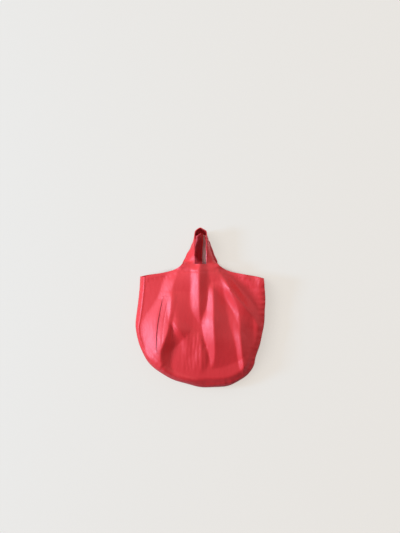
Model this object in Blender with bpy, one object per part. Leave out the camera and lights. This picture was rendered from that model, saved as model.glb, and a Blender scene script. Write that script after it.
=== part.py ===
"""A reusable shopping bag of red woven cloth, hanging empty by its two hand loops.

Metres, +Z up. The front faces -Y and the flat rear face of the back panel is the plane
y = 0. The origin is the point on that plane where the bag hangs, on the line along which
both loops lie on one nail.
"""
import math

import bpy
from mathutils import Vector
from mathutils.geometry import delaunay_2d_cdt

# Cloth and tape
PANEL_THICKNESS = 0.0012
FACING_THICKNESS = 0.0009
TAPE_THICKNESS = 0.0006
GAP = 0.0003
HEM_WIDTH = 0.016
HEM_THICKNESS = 0.0012
HEM_STEP = 0.0015
SEAM_ALLOWANCE = 0.008
TAPE_OVERLAP = 0.002

# Body of the bag, seen from the front
BODY_WIDTH = 0.432
BODY_DROP = 0.407
NECK_DROP = 0.113
NECK_LEFT = 0.0616
NECK_RIGHT = 0.0583
SEAM_INSET_LEFT = 0.016
SEAM_INSET_RIGHT = 0.003
SEAM_SHIFT_START_SHARE = 0.25
SEAM_SHIFT_SPAN_SHARE = 0.50

# Depth of the bag, from the back panel towards the front
CORNER_DEPTH = 0.047
BOTTOM_DEPTH = 0.056
NECK_DEPTH = 0.060
BELLY_DEPTH = 0.016
BELLY_FULLNESS = 1.2
FOLD_HEIGHT = 0.020
GUSSET_TUCK = 0.006

# Hand loops
FRONT_LOOP_RISE = 0.120
BACK_LOOP_RISE = 0.110
FRONT_SLOT_WIDTH = 0.040
BACK_SLOT_WIDTH = 0.024
BACK_SLOT_SHIFT = 0.018
BACK_TOP_SHIFT = 0.007
BACK_LEG_LEFT = 0.037
BACK_LEG_RIGHT = 0.027
WALL_CLEARANCE = 0.001
LINING_INSET = 0.002

# Neck facings
FACING_DROP = 0.025
FACING_TOP_INSET = 0.003
FACING_FLARE = 0.014

# Pocket in the left of the front panel
SLIT_TOP_DROP = 0.107
SLIT_LENGTH = 0.187
SLIT_OPENING = 0.010
SLIT_TOP_SHARE = 0.57
SLIT_SWING = 0.022
POCKET_WIDTH = 0.130
POCKET_MARGIN = 0.012
POCKET_CORNER = 0.024
POCKET_ROOM = 0.013
POCKET_SEAM = 0.008
POCKET_RAMP = 0.012
POCKET_FACING_WIDTH = 0.018

# Mesh pitch
PANEL_PITCH = 0.016
POCKET_PITCH = 0.012
ARC_STEPS = 6
LOOP_STEPS = 4
SPAN_STEPS = 4
SLIT_STEPS = 14
CLEAR_SHARE = 0.45
MERGE_DISTANCE = 1e-7
EDGE_SHARE = -1e-6
TINY = 1e-18
SHARP_DEGREES = 30

# Outline of the sides and the bottom, left corner to right corner, as shares of half the
# body width across and of the body drop down
OUTLINE_SHARES = (
    (-0.933, 0.103), (-0.940, 0.197), (-0.961, 0.300), (-0.985, 0.418), (-1.000, 0.516),
    (-0.951, 0.627), (-0.861, 0.749), (-0.736, 0.830), (-0.517, 0.913), (-0.228, 0.970),
    (0.054, 1.000), (0.331, 0.995), (0.509, 0.970), (0.685, 0.913), (0.808, 0.830),
    (0.847, 0.749), (0.921, 0.627), (0.968, 0.516), (0.990, 0.393), (1.000, 0.295),
    (0.990, 0.197), (0.981, 0.118),
)

# The rim sweeps out of the neck: shares across and down from neck to corner
RIM_SHARES = (
    (0.000, 0.000), (0.030, 0.110), (0.090, 0.250), (0.180, 0.410), (0.320, 0.560),
    (0.560, 0.710), (0.830, 0.860), (1.000, 1.000),
)

# Folds of the front panel as lines of points: share of half the body width across, share of
# the body drop down and share of the fold height. Crests, then valleys, then the line
# inside the seams and hems where the folds end.
FOLD_SHARES = (
    ((-0.02, 0.07, 0.00), (-0.02, 0.15, 0.90), (-0.02, 0.30, 0.70), (-0.02, 0.41, 0.40),
     (-0.01, 0.49, 0.00)),
    ((0.19, 0.18, 0.20), (0.20, 0.31, 0.60), (0.20, 0.46, 0.95), (0.20, 0.58, 0.90),
     (0.21, 0.72, 0.45), (0.21, 0.83, 0.00)),
    ((0.44, 0.11, 0.00), (0.52, 0.17, 0.70), (0.57, 0.25, 0.75), (0.59, 0.34, 0.75),
     (0.60, 0.46, 0.75), (0.61, 0.58, 0.65), (0.63, 0.72, 0.60), (0.66, 0.81, 0.35),
     (0.66, 0.86, 0.00)),
    ((-0.37, 0.10, 0.00), (-0.41, 0.17, 0.50), (-0.46, 0.31, 0.65), (-0.51, 0.46, 0.90),
     (-0.56, 0.58, 1.00), (-0.59, 0.69, 0.90), (-0.55, 0.78, 0.45), (-0.46, 0.84, 0.00)),
    ((-0.39, 0.44, 0.30), (-0.29, 0.60, 0.40), (-0.25, 0.72, 0.40), (-0.26, 0.81, 0.15),
     (-0.25, 0.88, 0.00)),
    ((-0.21, 0.075, 0.00), (-0.25, 0.18, 0.15), (-0.25, 0.31, 0.15), (-0.22, 0.46, 0.15),
     (-0.13, 0.59, 0.00), (-0.13, 0.72, 0.00), (-0.12, 0.89, 0.00)),
    ((-0.39, 0.44, 0.30), (-0.43, 0.58, 0.05), (-0.46, 0.70, 0.05), (-0.42, 0.80, 0.00)),
    ((0.12, 0.18, 0.25), (0.11, 0.30, 0.20), (0.07, 0.40, 0.15), (-0.01, 0.49, 0.00)),
    ((0.28, 0.075, 0.00), (0.30, 0.18, 0.15), (0.42, 0.31, 0.15), (0.45, 0.46, 0.10),
     (0.45, 0.58, 0.00), (0.42, 0.72, 0.00), (0.42, 0.89, 0.00)),
    ((0.74, 0.31, 0.45), (0.77, 0.45, 0.25)),
    ((-0.76, 0.145, 0.00), (-0.60, 0.135, 0.00), (-0.37, 0.10, 0.00), (-0.21, 0.075, 0.00),
     (-0.02, 0.07, 0.00), (0.28, 0.075, 0.00), (0.44, 0.11, 0.00), (0.69, 0.14, 0.00),
     (0.88, 0.145, 0.00), (0.92, 0.22, 0.00), (0.92, 0.36, 0.00), (0.90, 0.48, 0.00),
     (0.86, 0.58, 0.00), (0.80, 0.70, 0.00), (0.73, 0.80, 0.00), (0.66, 0.86, 0.00),
     (0.42, 0.89, 0.00), (0.21, 0.90, 0.00), (0.00, 0.90, 0.00), (-0.12, 0.89, 0.00),
     (-0.25, 0.88, 0.00), (-0.46, 0.84, 0.00), (-0.61, 0.79, 0.00), (-0.70, 0.73, 0.00),
     (-0.78, 0.66, 0.00), (-0.83, 0.57, 0.00), (-0.85, 0.46, 0.00), (-0.815, 0.34, 0.00),
     (-0.80, 0.24, 0.00), (-0.76, 0.145, 0.00)),
)

# A loop from its foot to its top: rise, half slot, leg width, turn of the left and right
# leg towards the wall in quarter turns, and dip of the band in quarter turns
FRONT_LOOP_SHARES = (
    (0.000, 1.00, 1.00, 0.00, 0.00, 0.00),
    (0.100, 1.00, 0.97, 0.28, 0.29, 0.00),
    (0.210, 1.00, 0.97, 0.48, 0.48, 0.00),
    (0.320, 1.00, 0.97, 0.62, 0.58, 0.00),
    (0.430, 1.00, 0.93, 0.74, 0.66, 0.00),
    (0.540, 1.00, 0.87, 0.85, 0.73, 0.00),
    (0.650, 1.00, 0.81, 0.96, 0.81, 0.02),
    (0.760, 1.00, 0.77, 1.03, 0.91, 0.07),
    (0.870, 0.95, 0.75, 1.06, 0.98, 0.16),
    (0.935, 0.68, 0.74, 1.04, 1.00, 0.27),
    (0.983, 0.30, 0.73, 1.00, 1.00, 0.35),
)
BACK_LOOP_SHARES = (
    (0.000, 1.00, 1.00, 0.00, 0.00, 0.00),
    (0.100, 0.87, 0.98, 0.04, 0.05, 0.00),
    (0.210, 0.78, 0.95, 0.16, 0.20, 0.00),
    (0.320, 0.71, 0.92, 0.27, 0.35, 0.00),
    (0.430, 0.63, 0.89, 0.32, 0.46, 0.00),
    (0.540, 0.59, 0.86, 0.35, 0.55, 0.00),
    (0.700, 0.55, 0.83, 0.38, 0.69, 0.03),
    (0.840, 0.45, 0.79, 0.42, 0.83, 0.09),
    (0.930, 0.30, 0.77, 0.52, 0.95, 0.15),
    (0.983, 0.14, 0.76, 0.80, 1.00, 0.20),
)
FRONT_TOP_SHARES = (1.000, 0.73, 0.38)
BACK_TOP_SHARES = (1.000, 0.76, 0.22)

# Colours as linear values, roughness of dry cotton
CLOTH_COLOUR = (0.62, 0.065, 0.085, 1.0)
LINING_COLOUR = (0.45, 0.035, 0.050, 1.0)
TAPE_COLOUR = (0.50, 0.050, 0.065, 1.0)
CLOTH_ROUGHNESS = 0.85

# The slit swings by this angle in radians on its way down
SLIT_TURN = 1.806
SLIT_DEEPEST_SHARE = 0.87
CORNER_SIGNS = ((1, 1), (-1, 1), (-1, -1), (1, -1))

HALF_WIDTH = BODY_WIDTH / 2
NECK_Z = -NECK_DROP
BACK_NECK_LEFT = BACK_LEG_LEFT + BACK_SLOT_WIDTH / 2 - BACK_SLOT_SHIFT
BACK_NECK_RIGHT = BACK_LEG_RIGHT + BACK_SLOT_WIDTH / 2 + BACK_SLOT_SHIFT


def clear_scene():
    for obj in list(bpy.data.objects):
        bpy.data.objects.remove(obj, do_unlink=True)


def cloth_material(name, colour):
    material = bpy.data.materials.new(name)
    material.use_nodes = True
    shader = material.node_tree.nodes["Principled BSDF"]
    shader.inputs["Base Color"].default_value = colour
    shader.inputs["Roughness"].default_value = CLOTH_ROUGHNESS
    shader.inputs["Metallic"].default_value = 0.0
    return material


def smooth_step(value):
    """Ease from 0 to 1 as value goes from 0 to 1."""
    held = min(max(value, 0.0), 1.0)
    return held * held * (3 - 2 * held)


def smooth_curve(points, steps):
    """A Catmull-Rom curve through the points, ends included."""
    result = []
    last = len(points) - 1
    for index in range(last):
        before = points[max(index - 1, 0)]
        start = points[index]
        end = points[index + 1]
        after = points[min(index + 2, last)]
        for step in range(steps):
            t = step / steps
            result.append(
                0.5 * (2 * start + (end - before) * t
                       + (2 * before - 5 * start + 4 * end - after) * t * t
                       + (3 * start - before - 3 * end + after) * t * t * t))
    result.append(points[last].copy())
    return result


def edge_normals(points):
    """Unit normals in the XZ plane, to the left of an open run of points."""
    normals = []
    last = len(points) - 1
    for index in range(len(points)):
        along = points[min(index + 1, last)] - points[max(index - 1, 0)]
        normals.append(Vector((-along.y, along.x)).normalized())
    return normals


def side_outline():
    """Sides and bottom of the back panel in (x, z), left corner to right corner."""
    points = [Vector((across * HALF_WIDTH, NECK_Z - down * BODY_DROP))
              for across, down in OUTLINE_SHARES]
    return smooth_curve(points, SPAN_STEPS)


def seam_inset(position):
    """Distance of the front seam inside the back outline, from 0 left to 1 right."""
    change = smooth_step((position - SEAM_SHIFT_START_SHARE) / SEAM_SHIFT_SPAN_SHARE)
    return SEAM_INSET_LEFT + (SEAM_INSET_RIGHT - SEAM_INSET_LEFT) * change


def inset_outline(outline, distances):
    normals = edge_normals(outline)
    return [point + normal * distance
            for point, normal, distance in zip(outline, normals, distances)]


def rim(neck, corner):
    """The rim from the neck out to a corner."""
    points = [Vector((neck.x + across * (corner.x - neck.x),
                      neck.y + down * (corner.y - neck.y)))
              for across, down in RIM_SHARES]
    return smooth_curve(points, SPAN_STEPS)


def panel_outline(sides, neck_left, neck_right):
    """A panel's closed outline: neck, right rim, right side, bottom, left side, left rim."""
    foot = NECK_Z - GAP / 2
    left_rim = rim(Vector((-neck_left, foot)), sides[0])
    right_rim = rim(Vector((neck_right, foot)), sides[-1])
    return left_rim[:0:-1] + left_rim[:1] + right_rim[:-1] + sides[:0:-1]


def fold_facets():
    """The flat facets of the front panel's folds: corners in (x, z) and their heights."""
    heights = {}
    edges = []
    for line in FOLD_SHARES:
        places = [(across * HALF_WIDTH, NECK_Z - down * BODY_DROP) for across, down, _ in line]
        for place, (_, _, height) in zip(places, line):
            heights.setdefault(place, height * FOLD_HEIGHT)
        order = list(heights)
        numbers = [order.index(place) for place in places]
        edges += list(zip(numbers, numbers[1:]))
    points = [Vector(place) for place in heights]
    raised = list(heights.values())
    filled = delaunay_2d_cdt(points, edges, [], 0, MERGE_DISTANCE)
    facets = []
    for face in filled[2]:
        corners = [filled[3][i][0] for i in face]
        if max(raised[i] for i in corners) > 0:
            facets.append([(points[i], raised[i]) for i in corners])
    return facets


FOLD_FACETS = fold_facets()


def fold_lines():
    """Every edge between two facets of the folds, once."""
    lines = {}
    for facet in FOLD_FACETS:
        for (start, _), (end, _) in zip(facet, facet[1:] + facet[:1]):
            key = tuple(sorted((tuple(start), tuple(end))))
            lines[key] = [start, end]
    return list(lines.values())


def fold_height(x, z):
    """How far the folds stand out at a point of the front panel."""
    for (a, height_a), (b, height_b), (c, height_c) in FOLD_FACETS:
        whole = (b.x - a.x) * (c.y - a.y) - (c.x - a.x) * (b.y - a.y)
        share_b = ((x - a.x) * (c.y - a.y) - (c.x - a.x) * (z - a.y)) / whole
        share_c = ((b.x - a.x) * (z - a.y) - (x - a.x) * (b.y - a.y)) / whole
        if min(share_b, share_c, 1 - share_b - share_c) > EDGE_SHARE:
            return (height_a + share_b * (height_b - height_a)
                    + share_c * (height_c - height_a))
    return 0.0


def front_face(x, z):
    """Y of the outer face of the front panel."""
    across = min(abs(x) / HALF_WIDTH, 1.0)
    down = min(max((NECK_Z - z) / BODY_DROP, 0.0), 1.0)
    neck_share = 1 - smooth_step((abs(x) - NECK_LEFT) / (HALF_WIDTH - NECK_LEFT))
    top = CORNER_DEPTH + (NECK_DEPTH - CORNER_DEPTH) * neck_share
    rest = top + (BOTTOM_DEPTH - top) * smooth_step(down)
    belly = BELLY_DEPTH * math.sin(math.pi * down) ** BELLY_FULLNESS * (1 - across * across)
    return -(rest + belly + fold_height(x, z))


def distance_to_run(point, run):
    """Shortest distance from a point to an open run of points."""
    best = math.inf
    for start, end in zip(run, run[1:]):
        along = end - start
        share = (point - start).dot(along) / max(along.dot(along), TINY)
        nearest = start + along * min(max(share, 0.0), 1.0)
        best = min(best, (point - nearest).length)
    return best


def is_inside(point, outline):
    inside = False
    for index, end in enumerate(outline):
        start = outline[index - 1]
        if (start.y > point.y) != (end.y > point.y):
            crossing = start.x + (point.y - start.y) * (end.x - start.x) / (end.y - start.y)
            if point.x < crossing:
                inside = not inside
    return inside


def divided(run, pitch):
    """The same run of points with none of its steps longer than the pitch."""
    result = []
    for start, end in zip(run, run[1:]):
        steps = max(math.ceil((end - start).length / pitch), 1)
        result += [start.lerp(end, step / steps) for step in range(steps)]
    return result


def fill_region(outline, holes, pitch, guides):
    """Triangles that fill an outline in (x, z), with holes and guide lines."""
    points = []
    edges = []
    for ring in [outline] + holes:
        first = len(points)
        points += divided(ring + ring[:1], pitch)
        count = len(points) - first
        edges += [(first + i, first + (i + 1) % count) for i in range(count)]
    for guide in guides:
        first = len(points)
        points += divided(guide, pitch) + guide[-1:]
        edges += [(i, i + 1) for i in range(first, len(points) - 1)]
    closed = [ring + ring[:1] for ring in [outline] + holes]
    low_x = min(point.x for point in outline)
    high_x = max(point.x for point in outline)
    low_z = min(point.y for point in outline)
    high_z = max(point.y for point in outline)
    for column in range(int((high_x - low_x) / pitch) + 1):
        for row in range(int((high_z - low_z) / pitch) + 1):
            shift = pitch / 2 if row % 2 else 0.0
            point = Vector((low_x + column * pitch + shift, low_z + row * pitch))
            if not is_inside(point, outline):
                continue
            if any(is_inside(point, hole) for hole in holes):
                continue
            if min(distance_to_run(point, run) for run in closed + guides) > pitch * CLEAR_SHARE:
                points.append(point)
    filled = delaunay_2d_cdt(points, edges, [], 0, MERGE_DISTANCE)
    flat_points = filled[0]
    triangles = []
    for face in filled[2]:
        centre = sum((flat_points[i] for i in face), Vector((0.0, 0.0))) / 3
        if is_inside(centre, outline) and not any(is_inside(centre, hole) for hole in holes):
            triangles.append(tuple(face))
    return flat_points, triangles


def new_object(name, vertices, faces, material):
    mesh = bpy.data.meshes.new(name)
    mesh.from_pydata(vertices, [], faces)
    mesh.update()
    mesh.materials.append(material)
    mesh.shade_smooth()
    mesh.set_sharp_from_angle(angle=math.radians(SHARP_DEGREES))
    obj = bpy.data.objects.new(name, mesh)
    bpy.context.scene.collection.objects.link(obj)
    return obj


def cloth_sheet(name, outline, holes, pitch, guides, outer, inner, material):
    """A closed sheet of cloth: a flat region with an outer and an inner Y at each point."""
    flat_points, triangles = fill_region(outline, holes, pitch, guides)
    used = sorted({index for triangle in triangles for index in triangle})
    place = {index: number for number, index in enumerate(used)}
    count = len(used)
    vertices = [(flat_points[i].x, outer(flat_points[i]), flat_points[i].y) for i in used]
    vertices += [(flat_points[i].x, inner(flat_points[i]), flat_points[i].y) for i in used]
    faces = []
    border = {}
    for triangle in triangles:
        a, b, c = (place[i] for i in triangle)
        faces.append((a, b, c))
        faces.append((c + count, b + count, a + count))
        for start, end in ((a, b), (b, c), (c, a)):
            if (end, start) in border:
                del border[(end, start)]
            else:
                border[(start, end)] = True
    for start, end in border:
        faces.append((start + count, end + count, end))
        faces.append((start + count, end, start))
    obj = new_object(name, vertices, faces, material)
    return turn_outward(obj)


def turn_outward(obj):
    """Flip a closed mesh whose faces point in."""
    mesh = obj.data
    volume = 0.0
    for polygon in mesh.polygons:
        corners = [mesh.vertices[i].co for i in polygon.vertices]
        volume += corners[0].dot(corners[1].cross(corners[2]))
    if volume < 0:
        mesh.flip_normals()
    return obj


def swept_strip(name, sections, material):
    """A closed strip through equal sections, each a ring of points, with filled ends."""
    ring = len(sections[0])
    vertices = [point for section in sections for point in section]
    faces = []
    for step in range(len(sections) - 1):
        low = step * ring
        high = low + ring
        for i in range(ring):
            j = (i + 1) % ring
            if i < ring // 2:
                faces.append((low + i, low + j, high + j))
                faces.append((low + i, high + j, high + i))
            else:
                faces.append((low + i, low + j, high + i))
                faces.append((low + j, high + j, high + i))
    top = (len(sections) - 1) * ring
    for i in range(ring // 2 - 1):
        a, b, c, d = i, i + 1, ring - 2 - i, ring - 1 - i
        faces.append((b, a, d))
        faces.append((b, d, c))
        faces.append((top + a, top + b, top + d))
        faces.append((top + b, top + c, top + d))
    obj = new_object(name, vertices, faces, material)
    return turn_outward(obj)


def at(flat, y):
    """A point of the (x, z) plane at the given Y."""
    return Vector((flat.x, y, flat.y))


def gusset_bulge(position):
    """How far the middle of the gusset stands inside its seams: tucked at the top."""
    return GUSSET_TUCK * (1 - 2 * math.sin(math.pi * position)) / 2


def make_gusset(back_sides, front_sides, material):
    """The strip between the panels, its two edges turned in as seam allowances."""
    back_normals = edge_normals(back_sides)
    front_normals = edge_normals(front_sides)
    count = len(back_sides)
    back_y = -PANEL_THICKNESS - GAP
    sections = []
    for index in range(count):
        back = back_sides[index]
        front = front_sides[index]
        in_back = back_normals[index]
        in_front = front_normals[index]
        tip = front + in_front * SEAM_ALLOWANCE
        seat = front_face(front.x, front.y) + PANEL_THICKNESS + GAP
        tip_seat = front_face(tip.x, tip.y) + PANEL_THICKNESS + GAP
        bulge = in_back * gusset_bulge(index / (count - 1))
        middle = (back + front) / 2 + bulge
        middle_y = (back_y + seat) / 2
        sections.append([
            at(back + in_back * SEAM_ALLOWANCE, back_y),
            at(back, back_y),
            at(middle, middle_y),
            at(front, seat),
            at(tip, tip_seat),
            at(tip, tip_seat + PANEL_THICKNESS),
            at(front + in_front * PANEL_THICKNESS, seat + PANEL_THICKNESS),
            at(middle + in_back * PANEL_THICKNESS, middle_y),
            at(back + in_back * PANEL_THICKNESS, back_y - PANEL_THICKNESS),
            at(back + in_back * SEAM_ALLOWANCE, back_y - PANEL_THICKNESS),
        ])
    return swept_strip("gusset", sections, material)


def make_seam_tape(name, sides, seat_at, towards, material):
    """Tape over a raw seam edge: towards is the Y direction from the panel inwards."""
    sections = []
    for point, normal in zip(sides, edge_normals(sides)):
        near = point + normal * (PANEL_THICKNESS + GAP + TAPE_THICKNESS)
        far = point + normal * (SEAM_ALLOWANCE + TAPE_OVERLAP)
        clear = PANEL_THICKNESS + GAP
        near_y = seat_at(near) + towards * clear
        far_y = seat_at(far) + towards * clear
        thick = towards * TAPE_THICKNESS
        sections.append([at(near, near_y), at(far, far_y),
                         at(far, far_y + thick), at(near, near_y + thick)])
    return swept_strip(name, sections, material)


def band_direction(side, turn, dip):
    """Direction from the slot edge of a loop to its outer edge."""
    yaw = turn * math.pi / 2
    pitch = dip * math.pi / 2
    return Vector((side * math.cos(yaw) * math.cos(pitch),
                   math.sin(yaw) * math.cos(pitch),
                   -math.sin(pitch)))


def loop_edges(rows, top, rise, slot_half, shift, legs, face_y, against_wall):
    """Slot edge and outer edge of a loop, left foot over the top to the right foot."""
    foot = NECK_Z + GAP / 2
    slot_edge = []
    outer_edge = []
    left = [(-1, row) for row in rows]
    right = [(1, row) for row in reversed(rows)]
    crown = [(0, (top[0], 0.0, top[1], 1.0, 1.0, top[2]))]
    for side, row in left + crown + right:
        rise_share, half_share, width_share, turn_left, turn_right, dip = row
        turn = turn_right if side > 0 else turn_left
        leg = legs[1] if side > 0 else legs[0]
        width = leg * width_share if side else sum(legs) / 2 * width_share
        reach = band_direction(side, turn, dip) * width
        centre = shift[0] + (shift[1] - shift[0]) * rise_share
        y = face_y
        if against_wall:
            y = face_y - reach.y - WALL_CLEARANCE * smooth_step(turn)
        start = Vector((centre + side * slot_half * half_share, y,
                        foot + rise_share * (rise - GAP / 2)))
        slot_edge.append(start)
        outer_edge.append(start + reach)
    return smooth_curve(slot_edge, LOOP_STEPS), smooth_curve(outer_edge, LOOP_STEPS)


def band_sections(slot_edge, outer_edge, inward, inset, start, thickness):
    """Sections of a band between two edges, offset towards its inner side, level at its feet."""
    sections = []
    last = len(slot_edge) - 1
    for index in range(last + 1):
        low = max(index - 1, 0)
        high = min(index + 1, last)
        along = (slot_edge[high] + outer_edge[high]) - (slot_edge[low] + outer_edge[low])
        if high - low == 1:
            along = Vector((0.0, 0.0, along.z))
        across = (outer_edge[index] - slot_edge[index]).normalized()
        normal = along.cross(across).normalized() * inward
        near = slot_edge[index] + across * inset
        far = outer_edge[index] - across * inset
        sections.append([near + normal * start, far + normal * start,
                         far + normal * (start + thickness),
                         near + normal * (start + thickness)])
    return sections


def make_loop(prefix, edges, inward, axis_point, cloth, lining_cloth):
    """A hand loop and its lining, both under an empty on the line where they fold."""
    hinge = bpy.data.objects.new(prefix + "_fold_line", None)
    hinge.location = axis_point
    bpy.context.scene.collection.objects.link(hinge)
    bpy.context.view_layer.update()
    slot_edge, outer_edge = edges
    loop = swept_strip(
        prefix, band_sections(slot_edge, outer_edge, inward, 0.0, 0.0, PANEL_THICKNESS), cloth)
    lining = swept_strip(
        prefix + "_lining",
        band_sections(slot_edge, outer_edge, inward, LINING_INSET,
                      PANEL_THICKNESS + GAP, FACING_THICKNESS), lining_cloth)
    for obj in (loop, lining):
        obj.parent = hinge
        obj.matrix_parent_inverse = hinge.matrix_world.inverted()


def facing_outline(left, right):
    """The neck facing under a slot, wider at its foot."""
    top = NECK_Z - GAP / 2
    foot = NECK_Z - FACING_DROP
    return [Vector((-left + FACING_TOP_INSET, top)),
            Vector((-left - FACING_FLARE, foot)),
            Vector((right + FACING_FLARE, foot)),
            Vector((right - FACING_TOP_INSET, top))]


def seam_edge():
    """Width along each side seam that stays free of the rim hems."""
    return SEAM_ALLOWANCE + TAPE_OVERLAP + HEM_STEP


def hem_amount(point, rims, sides, facing):
    """1 on the doubled cloth of the rim hems and 0 elsewhere."""
    if min(distance_to_run(point, run) for run in rims) > HEM_WIDTH + HEM_STEP / 2:
        return 0.0
    if distance_to_run(point, sides) < seam_edge() + HEM_STEP / 2:
        return 0.0
    if is_inside(point, facing) or point.y > NECK_Z - 2 * HEM_STEP:
        return 0.0
    if distance_to_run(point, facing + facing[:1]) < 1.5 * HEM_STEP:
        return 0.0
    return 1.0


def hem_guides(rims, sides, facing):
    """Lines round each hem: along its foot, beside the facing and beside the seams."""
    guides = []
    clear = seam_edge() + 2 * HEM_STEP
    for run, side in zip(rims, (1, -1)):
        for depth in (HEM_WIDTH, HEM_WIDTH + HEM_STEP):
            line = [point + normal * depth * side
                    for point, normal in zip(run, edge_normals(run))]
            line = [point for point in line
                    if distance_to_run(point, sides) > clear
                    and distance_to_run(point, facing + facing[:1]) > 3 * HEM_STEP
                    and not is_inside(point, facing)
                    and point.y < NECK_Z - HEM_WIDTH]
            guides.append(line)
    beside_seam = inset_outline(sides, [seam_edge()] * len(sides))
    for end in (beside_seam[:2 * SPAN_STEPS], beside_seam[-2 * SPAN_STEPS:]):
        guides.append([point for point in end
                       if min(distance_to_run(point, run) for run in rims) > HEM_STEP])
    top_left, foot_left, foot_right, top_right = facing
    step = Vector((HEM_STEP, HEM_STEP))
    beside_facing = [top_left - step, Vector((foot_left.x - step.x, foot_left.y)),
                     Vector((foot_left.x, foot_left.y - step.y)),
                     Vector((foot_right.x, foot_right.y - step.y)),
                     Vector((foot_right.x + step.x, foot_right.y)),
                     Vector((top_right.x + step.x, top_right.y - step.y))]
    guides.append(beside_facing)
    return guides


def slit_centre(share):
    """The pocket slit's centre line in (x, z), from its top down."""
    swing = math.sin(SLIT_TURN * share)
    return Vector((-SLIT_TOP_SHARE * HALF_WIDTH - SLIT_SWING * swing,
                   NECK_Z - SLIT_TOP_DROP - SLIT_LENGTH * share))


def slit_outline():
    shares = [step / SLIT_STEPS for step in range(SLIT_STEPS + 1)]
    right = []
    left = []
    for share in shares:
        half = SLIT_OPENING / 2 * (1 - abs(2 * share - 1) ** 6)
        centre = slit_centre(share)
        right.append(Vector((centre.x + half, centre.y)))
        left.append(Vector((centre.x - half, centre.y)))
    return right + left[1:-1][::-1]


def pocket_facing_outline():
    shares = [step / SLIT_STEPS for step in range(SLIT_STEPS + 1)]
    near = []
    far = []
    for share in shares:
        centre = slit_centre(share)
        near.append(Vector((centre.x + SLIT_OPENING / 2 + GAP, centre.y)))
        far.append(Vector((centre.x + SLIT_OPENING / 2 + POCKET_FACING_WIDTH, centre.y)))
    return near + far[::-1]


def pocket_outline():
    """A pouch with rounded corners round the slit, longer towards the middle."""
    left = slit_centre(SLIT_DEEPEST_SHARE).x - POCKET_MARGIN
    right = left + POCKET_WIDTH
    top = slit_centre(0.0).y + POCKET_MARGIN
    foot = slit_centre(1.0).y - POCKET_MARGIN
    corners = ((right, top, 0), (left, top, 1), (left, foot, 2), (right, foot, 3))
    points = []
    for x, z, quarter in corners:
        centre = Vector((x - POCKET_CORNER * CORNER_SIGNS[quarter][0],
                         z - POCKET_CORNER * CORNER_SIGNS[quarter][1]))
        for step in range(ARC_STEPS + 1):
            angle = (quarter + step / ARC_STEPS) * math.pi / 2
            points.append(centre + Vector((math.cos(angle), math.sin(angle))) * POCKET_CORNER)
    return points


def front_offset(distance):
    """A face that lies the given distance inside the front panel's outer face."""
    return lambda point: front_face(point.x, point.y) + distance


def make_pocket(cloth):
    outline = pocket_outline()
    edge = outline + outline[:1]
    facing_seat = PANEL_THICKNESS + GAP
    front_seat = facing_seat + FACING_THICKNESS + GAP
    back_seat = front_seat + FACING_THICKNESS + GAP

    def room(point):
        depth = distance_to_run(point, edge) - POCKET_SEAM
        return POCKET_ROOM * smooth_step(depth / POCKET_RAMP)

    cloth_sheet("pocket_facing", pocket_facing_outline(), [], POCKET_PITCH, fold_lines(),
                front_offset(facing_seat), front_offset(facing_seat + FACING_THICKNESS), cloth)
    cloth_sheet("pocket_front_layer", outline, [slit_outline()], POCKET_PITCH, fold_lines(),
                front_offset(front_seat), front_offset(front_seat + FACING_THICKNESS), cloth)
    cloth_sheet("pocket_back_layer", outline, [], POCKET_PITCH, fold_lines(),
                lambda point: front_offset(back_seat)(point) + room(point),
                lambda point: front_offset(back_seat + FACING_THICKNESS)(point) + room(point),
                cloth)


def make_front_panel(sides, facing, cloth):
    outline = panel_outline(sides, NECK_LEFT, NECK_RIGHT)
    foot = NECK_Z - GAP / 2
    rims = (rim(Vector((-NECK_LEFT, foot)), sides[0]), rim(Vector((NECK_RIGHT, foot)), sides[-1]))

    def inner(point):
        hem = HEM_THICKNESS * hem_amount(point, rims, sides, facing)
        return front_face(point.x, point.y) + PANEL_THICKNESS + hem

    guides = hem_guides(rims, sides, facing) + fold_lines()
    cloth_sheet("front_panel", outline, [slit_outline()], PANEL_PITCH, guides,
                front_offset(0.0), inner, cloth)


def make_back_panel(sides, facing, cloth):
    outline = panel_outline(sides, BACK_NECK_LEFT, BACK_NECK_RIGHT)
    foot = NECK_Z - GAP / 2
    rims = (rim(Vector((-BACK_NECK_LEFT, foot)), sides[0]),
            rim(Vector((BACK_NECK_RIGHT, foot)), sides[-1]))

    def inner(point):
        return -PANEL_THICKNESS - HEM_THICKNESS * hem_amount(point, rims, sides, facing)

    cloth_sheet("back_panel", outline, [], PANEL_PITCH,
                hem_guides(rims, sides, facing), lambda point: 0.0, inner, cloth)


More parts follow.
